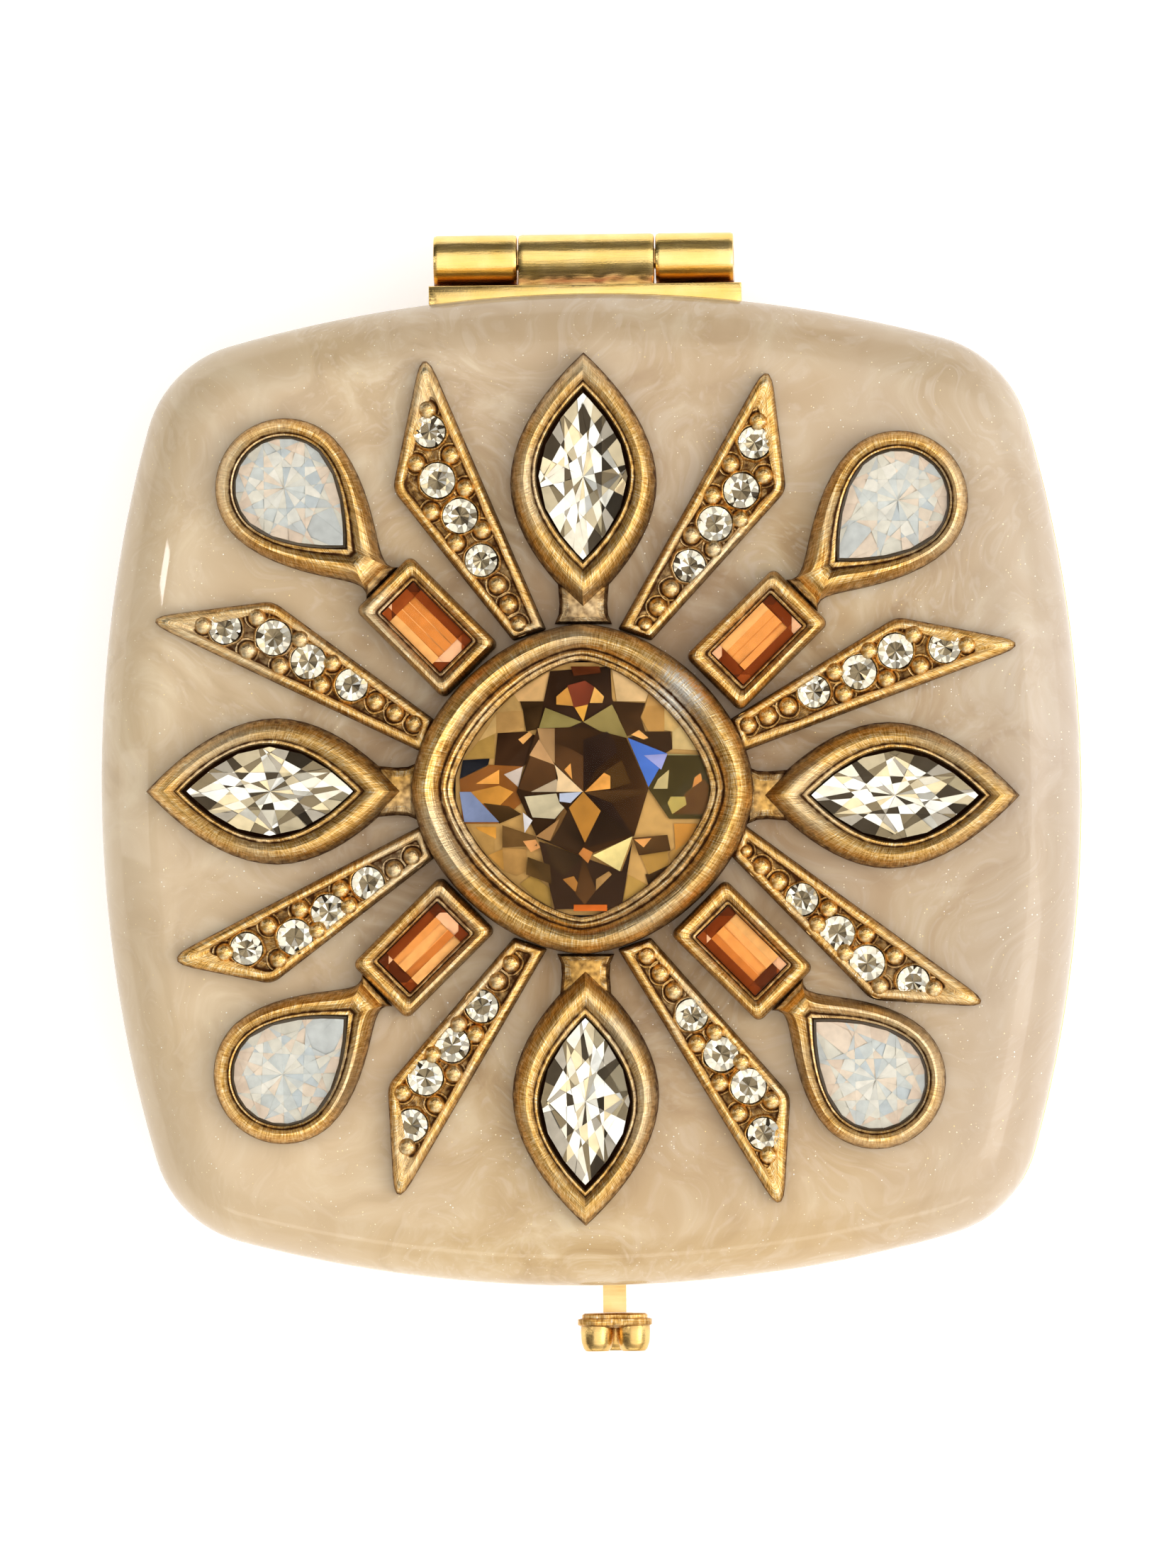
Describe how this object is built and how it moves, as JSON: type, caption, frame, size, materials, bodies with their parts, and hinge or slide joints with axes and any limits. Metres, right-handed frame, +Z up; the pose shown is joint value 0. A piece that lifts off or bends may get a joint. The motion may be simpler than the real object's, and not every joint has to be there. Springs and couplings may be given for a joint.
{
  "type": "powder compact",
  "caption": "Rounded-square hinged powder compact: pearly enamel case, jewelled sunburst on the lid, press latch, mirror and powder pan with puff inside.",
  "frame": {"origin": "middle of the underside, which is also the bottom centre of the bounding box", "axes": "+Y towards the hinge, -Y towards the latch, +Z up out of the lid, +X to the right seen from above with the hinge at the back"},
  "size_m": [0.0622, 0.0711, 0.0198],
  "materials": {
    "pearl_enamel": "champagne pearl resin enamel with swirls and fine gold glitter, high gloss",
    "case_brass": "gold-plated brass stamping, satin",
    "polished_gold": "gold-plated brass, satin polish",
    "antique_gold": "brushed antique gold casting with dark patina in the recesses",
    "steel": "gold-washed steel",
    "topaz_crystal": "faceted smoky topaz glass, foil back",
    "clear_crystal": "faceted clear glass, foil back",
    "amber_crystal": "step-cut amber glass, foil back",
    "opal_crystal": "faceted white opal glass",
    "mirror_silver": "silvered glass",
    "backing_card": "plain card",
    "tinplate": "bright pressed pan",
    "face_powder": "pressed powder, matte",
    "velour": "short-pile cotton velour",
    "satin_ribbon": "satin"
  },
  "bodies": {
    "base": {"base_enamel": "pearl_enamel", "base_shell": "case_brass", "inner_plate": "polished_gold", "powder_pan": "tinplate", "pressed_powder": "face_powder", "puff": "velour", "puff_ribbon": "satin_ribbon", "hinge_barrel_left": "polished_gold", "hinge_barrel_right": "polished_gold", "hinge_pin": "steel", "latch_guide": "steel", "latch_spring": "steel"},
    "lid": {"baguette_bezel_northeast": "antique_gold", "baguette_bezel_northwest": "antique_gold", "baguette_bezel_southeast": "antique_gold", "baguette_bezel_southwest": "antique_gold", "baguette_stone_northeast": "amber_crystal", "baguette_stone_northwest": "amber_crystal", "baguette_stone_southeast": "amber_crystal", "baguette_stone_southwest": "amber_crystal", "center_bezel": "antique_gold", "center_stone": "topaz_crystal", "hinge_barrel_lid": "polished_gold", "lid_enamel": "pearl_enamel", "lid_shell": "case_brass", "lid_striker": "steel", "mirror_backing": "backing_card", "mirror_frame": "polished_gold", "mirror_glass": "mirror_silver", "navette_bezel_east": "antique_gold", "navette_bezel_north": "antique_gold", "navette_bezel_south": "antique_gold", "navette_bezel_west": "antique_gold", "navette_stone_east": "clear_crystal", "navette_stone_north": "clear_crystal", "navette_stone_south": "clear_crystal", "navette_stone_west": "clear_crystal", "pear_bezel_northeast": "antique_gold", "pear_bezel_northwest": "antique_gold", "pear_bezel_southeast": "antique_gold", "pear_bezel_southwest": "antique_gold", "pear_stone_northeast": "opal_crystal", "pear_stone_northwest": "opal_crystal", "pear_stone_southeast": "opal_crystal", "pear_stone_southwest": "opal_crystal", "ray_east_northeast": "antique_gold", "ray_east_southeast": "antique_gold", "ray_north_northeast": "antique_gold", "ray_north_northwest": "antique_gold", "ray_south_southeast": "antique_gold", "ray_south_southwest": "antique_gold", "ray_west_northwest": "antique_gold", "ray_west_southwest": "antique_gold"},
    "latch": {"latch_slider": "steel", "thumb_piece": "antique_gold", "thumb_stone_left": "clear_crystal", "thumb_stone_right": "clear_crystal", "thumb_stone_lower": "clear_crystal"}
  },
  "joints": [
    {"name": "lid_hinge", "type": "hinge", "parent": "base", "child": "lid", "pos_m": [0, 0.0337, 0.0082], "axis": [-1, 0, 0], "range_deg": [0, 115]},
    {"name": "latch_press", "type": "slide", "parent": "base", "child": "latch", "axis": [0, 1, 0], "range_m": [0, 0.0014], "stiffness_N_per_m": 600, "springref_m": -0.001, "deforming": ["latch_spring"]}
  ]
}
